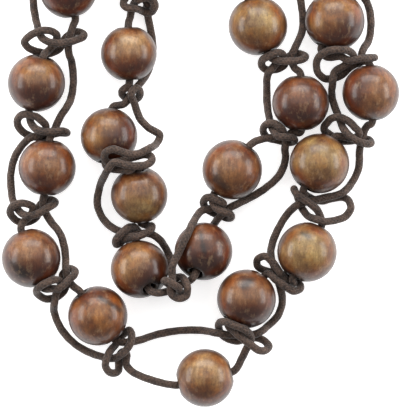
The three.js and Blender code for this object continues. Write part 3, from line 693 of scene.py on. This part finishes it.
def bead_profile(radius):
    """Half of a bead's section, as distances from the bore's axis and along it: an arc from
    end to end, a small round into each end's flat ring, the mouth's slope and the bore's
    wall, closed on itself."""
    tip = math.asin(END_FLAT_DIAMETER / 2 / radius)
    arc = np.linspace(tip + 0.03, math.pi - tip - 0.03, BEAD_RINGS)
    half = radius * math.cos(tip)
    outside = np.stack([radius * np.sin(arc), -radius * np.cos(arc)], axis=1)
    flat, mouth, bore = END_FLAT_DIAMETER / 2, MOUTH_DIAMETER / 2, BORE_DIAMETER / 2
    end = np.array([[flat - END_ROUNDING / 2, half - 0.02], [flat - END_ROUNDING, half - 0.08],
                    [mouth + 0.1, half - 0.14], [mouth, half - 0.3], [bore + 0.12, half - 0.62],
                    [bore, half - 1.2]])
    return np.vstack([outside, end, end[::-1] * [1, -1], outside[:1]])


def bead_surface(index):
    """A bead: its profile turned round its bore."""
    profile = bead_profile(bead_radius(index))
    turn = np.arange(BEAD_SIDES) * 2 * math.pi / BEAD_SIDES
    along = bore_direction(index)
    aside = unit(np.cross(along, [0, 0, 1]))
    over = np.cross(aside, along)
    round_way = np.cos(turn)[:, None] * over + np.sin(turn)[:, None] * aside
    points = (bead_centre(index) + profile[:, :1, None] * round_way[None]
              + profile[:, 1:, None] * along)
    points = points[:-1].reshape(-1, 3)
    rows = len(profile)
    faces, corner_rows, corner_columns = grid_faces(rows, BEAD_SIDES)
    faces %= len(points)
    uv = np.stack([corner_columns / BEAD_SIDES, corner_rows / rows], axis=2)
    return points, faces[:, ::-1], uv[:, ::-1]


def toward(stain, target, share):
    """The stain moved towards another one by each point's share."""
    return stain + (np.array(target) - stain) * share[:, None]


def on_streak(facing, start, end, width):
    """How much each point of the upper side lies on a streak, from 0 to 1: a bell over its
    distance, as seen from above, to the line between the streak's ends."""
    start, run = np.array(start), np.subtract(end, start)
    share = np.clip((facing[:, :2] - start) @ run / (run @ run), 0, 1)
    distance = np.linalg.norm(facing[:, :2] - start - share[:, None] * run, axis=1)
    return np.exp(-(distance / width) ** 2) * (facing[:, 2] > 0)


def leaning_stain(index, facing):
    """The crown's stain, fading into the leaning side's by how far a point faces that side."""
    crown, side, degrees, share = BEAD_STAINS[index]
    angle = math.radians(degrees)
    lean = facing[:, 0] * math.cos(angle) + facing[:, 1] * math.sin(angle)
    blend = 1 / (1 + np.exp(-(lean - (1 - 1.7 * share)) * 6))
    return toward(np.array(STAINS[crown]), STAINS[side], blend)


def bead_stain_and_shade(index, points):
    """Linear colour at each point: the leaning stain, an amber band below the crown, painted
    shade at the rim by how low the point lies, painted shade at the bore by how near it is to
    the bore, and the streaks. Painted shade also makes the side towards -y darker."""
    facing = (points - bead_centre(index)) / bead_radius(index)
    stain = leaning_stain(index, facing)
    level = np.linalg.norm(facing[:, :2], axis=1)
    around = np.arctan2(facing[:, 1], facing[:, 0])
    uneven = 0.55 + 0.45 * np.sin(2 * around + 1.7 * index) * np.cos(3 * around - 2.3 * index)
    band = np.exp(-((level - 0.79) / 0.14) ** 2) * uneven
    stain = toward(stain, BAND_STAIN, band * 0.80)
    # Painted shade: darker towards the rim, where the light from above falls off
    low = np.clip((level - 0.82) / 0.16, 0, 1) ** 1.2
    stain = toward(stain, PAINTED_RIM_SHADE, low * 0.85)
    # Painted shade in and round the bore's mouth, by the distance from the bore's axis
    along = bore_direction(index)
    off_axis = np.linalg.norm(facing - np.outer(facing @ along, along), axis=1)
    ring = np.clip(1 - (off_axis * bead_radius(index) - BORE_SHADE_FULL) / BORE_SHADE_FADE, 0, 1)
    stain = toward(stain, PAINTED_BORE_SHADE, ring ** 1.6 * 0.9)
    for row, start, end, width in STREAKS:
        if row == index:
            stain = stain * (1 - 0.45 * on_streak(facing, start, end, width))[:, None]
    # Painted shade: the side towards -y is darker, away from the lamps
    shade = 1 - 0.22 * np.clip(-facing[:, 1:2] - 0.15, 0, 1)
    return (stain * shade) ** 2.2


# Shader maths

class Socket:
    """One node socket, so that shader maths can be written as an expression."""

    def __init__(self, nodes, socket):
        self.nodes = nodes
        self.socket = socket

    def math(self, operation, *others):
        return self.nodes.node("ShaderNodeMath", {"operation": operation}, [self, *others])

    def beside(self, output):
        """Another output of the same node."""
        return Socket(self.nodes, self.socket.node.outputs[output])

    def __add__(self, other):
        return self.math("ADD", other)

    def __mul__(self, other):
        return self.math("MULTIPLY", other)

    def __sub__(self, other):
        return self.math("SUBTRACT", other)

    def sin(self):
        return self.math("SINE")

    def clamped(self):
        return self.math("MAXIMUM", 0.0).math("MINIMUM", 1.0)


class Nodes:
    """A material's node tree: node() adds any node with its settings and inputs."""

    def __init__(self, name):
        self.material = bpy.data.materials.new(name)
        self.material.use_nodes = True
        self.tree = self.material.node_tree
        self.surface = self.tree.nodes["Principled BSDF"]

    def node(self, kind, settings=None, inputs=(), output=0):
        made = self.tree.nodes.new(kind)
        for key, value in (settings or {}).items():
            setattr(made, key, value)
        pairs = inputs.items() if isinstance(inputs, dict) else enumerate(inputs)
        for key, value in pairs:
            self.feed(made.inputs[key], value)
        return Socket(self, made.outputs[output])

    def feed(self, target, value):
        if isinstance(value, Socket):
            self.tree.links.new(value.socket, target)
        else:
            target.default_value = value

    def tinted(self, colour, tint):
        return self.mix(1.0, colour, tint, "MULTIPLY")

    def mix(self, factor, a, b, blend="MIX"):
        settings = {"data_type": "RGBA", "blend_type": blend}
        return self.node("ShaderNodeMix", settings, {0: factor, 6: a, 7: b}, output=2)

    def noise(self, vector, scale, detail=3.0, rough=0.55):
        inputs = {"Vector": vector, "Scale": scale, "Detail": detail, "Roughness": rough}
        return self.node("ShaderNodeTexNoise", {}, inputs)

    def stretched(self, vector, scale):
        return self.node("ShaderNodeMapping", {}, {"Vector": vector, "Scale": scale})

    def bump(self, height, distance, strength=1.0):
        inputs = {"Height": height, "Distance": distance, "Strength": strength}
        return self.node("ShaderNodeBump", {}, inputs)

    def finish(self, **inputs):
        for key, value in inputs.items():
            self.feed(self.surface.inputs[key.replace("_", " ")], value)
        return self.material


def varnished_wood():
    """Stained wood under clear varnish: the stain attribute, which holds the wood's stain and
    painted shade, mottled by soft clouds, amber and pale patches, dark blotches, fibres that
    run one way, fine grain and dark pores."""
    nodes = Nodes("varnished_wood")
    stain = nodes.node("ShaderNodeAttribute", {"attribute_name": "stain"})
    place = nodes.node("ShaderNodeTexCoord", output=3)
    clouds = nodes.noise(nodes.stretched(place, (1.0, 0.7, 1.0)), 130.0, 4.0, 0.6)
    fibres = nodes.noise(nodes.stretched(place, (1.0, 0.22, 1.0)), 900.0, 4.0, 0.65)
    pores = nodes.noise(nodes.stretched(place, (1.0, 0.4, 1.0)), 2400.0, 2.0, 0.6)
    ambers = nodes.noise(place, 210.0, 3.0, 0.6)
    pales = nodes.noise(nodes.stretched(place, (1.0, 0.5, 1.0)), 480.0, 5.0, 0.7)
    blotches = nodes.noise(nodes.stretched(place, (1.3, 0.6, 1.0)), 330.0, 4.0, 0.7)
    grains = nodes.noise(place, 1500.0, 3.0, 0.7)
    cloud_share = ((clouds - 0.5) * 4.2 + 0.5).clamped()
    fibre_share = ((fibres - 0.5) * 4.5 + 0.5).clamped()
    grain_share = ((grains - 0.5) * 5.0 + 0.5).clamped()
    amber_share = ((ambers - 0.50) * 6.0).clamped()
    pale_share = ((pales - 0.53) * 7.0).clamped()
    blotch_share = ((blotches - 0.60) * 9.0).clamped()
    pore_share = ((pores - 0.60) * 6.0).clamped()
    cloudy = nodes.mix(cloud_share, nodes.tinted(stain, DARK_TINT), nodes.tinted(stain, LIGHT_TINT))
    colour = nodes.mix(amber_share * 0.6, cloudy, nodes.tinted(stain, AMBER_TINT))
    colour = nodes.mix(pale_share * 0.20, colour, PALE_PATCH)
    colour = nodes.mix(blotch_share * 0.6, colour, DARK_BLOTCH)
    colour = nodes.mix(fibre_share * 0.75, colour, nodes.tinted(colour, FIBRE_TINT))
    colour = nodes.mix(grain_share * 0.32, colour, nodes.tinted(colour, GRAIN_TINT))
    colour = nodes.mix(pore_share * 0.6, colour, PORE)
    normal = nodes.bump(fibres + clouds * 2.0, 0.00003, 0.35)
    material = nodes.finish(Base_Color=colour, Roughness=fibre_share * 0.10 + 0.40, Normal=normal)
    nodes.finish(Coat_Weight=0.40, Coat_Roughness=0.17, Specular_IOR_Level=0.32)
    return material


def braided_cord():
    """Satin braid: two sets of yarns wind the cord both ways as crossed waves, with fine
    fibres along it, painted light on the yarns' crowns and painted shade in the grooves."""
    nodes = Nodes("braided_cord")
    uv = nodes.node("ShaderNodeTexCoord", output=2)
    along = nodes.node("ShaderNodeSeparateXYZ", {}, [uv])
    around = along.beside(1)
    left = (along * YARN_PITCH + around * YARN_TURNS).sin()
    right = (along * YARN_PITCH - around * YARN_TURNS).sin()
    braid = left.math("MAXIMUM", right) * 0.5 + 0.5
    place = nodes.node("ShaderNodeTexCoord", output=3)
    fibres = nodes.noise(nodes.stretched(uv, (0.5, 3.0, 1.0)), 10.0, 5.0, 0.7)
    patches = nodes.noise(place, 420.0, 3.0, 0.6)
    # The braid's wave in the tone is painted light on the yarns' crowns and painted shade in the grooves;
    # the fibres and patches are the cord's own tone
    tone = (braid * 0.45 + (fibres - 0.5) * 4.2 + (patches - 0.5) * 1.8 + 0.16).clamped()
    colour = nodes.mix(tone, GROOVE_SHADE_AND_DARK_FIBRE, YARN)
    normal = nodes.bump(braid * 0.8 + fibres * 1.2, 0.00022, 1.0)
    material = nodes.finish(Base_Color=colour, Roughness=fibres * 0.2 + 0.50, Normal=normal)
    nodes.finish(Sheen_Weight=0.12, Sheen_Roughness=0.5, Specular_IOR_Level=0.35)
    return material


def pale_floor():
    nodes = Nodes("pale_floor")
    return nodes.finish(Base_Color=(0.9, 0.9, 0.9, 1), Roughness=0.9, Specular_IOR_Level=0.1,
                        Emission_Color=(1, 1, 1, 1), Emission_Strength=0.62)


# The necklace

def make_beads(material):
    for index in range(len(BEADS)):
        points, faces, uv = bead_surface(index)
        piece = mesh_object(f"wood_bead_{index + 1:02d}", points, faces, uv, material)
        # The stain attribute holds the wood's stain with painted shade at the rim, at the bore and on the
        # side towards -y
        stain = piece.data.color_attributes.new("stain", "FLOAT_COLOR", "POINT")
        colours = np.column_stack([bead_stain_and_shade(index, points), np.ones(len(points))])
        stain.data.foreach_set("color", colours.astype(np.float32).ravel())
        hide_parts(f"bead_{index + 1:02d}")


def make_cords(material):
    ways = [cord_way(start) for start in range(len(BEADS))]
    lines = [evenly(spline(way), STEP) for way in ways]
    for index, line in enumerate(settle(lines, ways)):
        points, faces, uv = cord_surface(line)
        piece = mesh_object(f"braid_{index + 1:02d}", points, faces, uv, material)
        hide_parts(f"cord_{index + 1:02d}")


# The floor, the light and the camera

def make_floor():
    """A level square just under the necklace."""
    corners = [(x * FLOOR_REACH * MM, y * FLOOR_REACH * MM, -FLOOR_DROP * MM)
               for x, y in ((-1, -1), (1, -1), (1, 1), (-1, 1))]
    mesh = bpy.data.meshes.new("floor")
    mesh.from_pydata(corners, [], [(0, 1, 2, 3)])
    mesh.materials.append(pale_floor())
    floor = bpy.data.objects.new("floor", mesh)
    bpy.context.scene.collection.objects.link(floor)


def aimed(thing, place, target):
    """Puts a lamp in its place in metres, its back turned away from the target."""
    thing.location = place
    way = np.array(target) - np.array(place)
    thing.rotation_euler = (math.atan2(math.hypot(way[0], way[1]), -way[2]), 0,
                            math.atan2(-way[0], way[1]) if way[0] or way[1] else 0)
    bpy.context.scene.collection.objects.link(thing)


def make_lamp(name, place, size, power):
    lamp = bpy.data.lights.new(name, "AREA")
    lamp.shape = "RECTANGLE"
    lamp.size, lamp.size_y = size
    lamp.energy = power
    aimed(bpy.data.objects.new(name, lamp), place, (0, 0, 0))


def make_light():
    world = bpy.data.worlds.new("soft_sky")
    world.use_nodes = True
    world.node_tree.nodes["Background"].inputs[0].default_value = (1, 1, 1, 1)
    world.node_tree.nodes["Background"].inputs[1].default_value = 0.45
    bpy.context.scene.world = world
    bpy.context.scene.view_settings.view_transform = "Standard"
    for name, place, size, power in LAMPS:
        make_lamp(name, place, size, power)


def make_camera():
    """A long lens straight above the middle of the picture. At the height of the beads'
    middles its longer side takes in the picture's longer side."""
    middle = in_plan((PICTURE_WIDTH / 2, PICTURE_HEIGHT / 2))
    half_side = max(PICTURE_WIDTH, PICTURE_HEIGHT) * PLAN_UNIT / 2
    lens = bpy.data.cameras.new("camera")
    lens.angle = 2 * math.atan(half_side / (CAMERA_HEIGHT - BEAD_DIAMETER / 2))
    camera = bpy.data.objects.new("camera", lens)
    camera.location = (middle[0] * MM, middle[1] * MM, CAMERA_HEIGHT * MM)
    bpy.context.scene.collection.objects.link(camera)
    bpy.context.scene.camera = camera


make_camera()
make_cords(braided_cord())
make_beads(varnished_wood())
make_floor()
make_light()
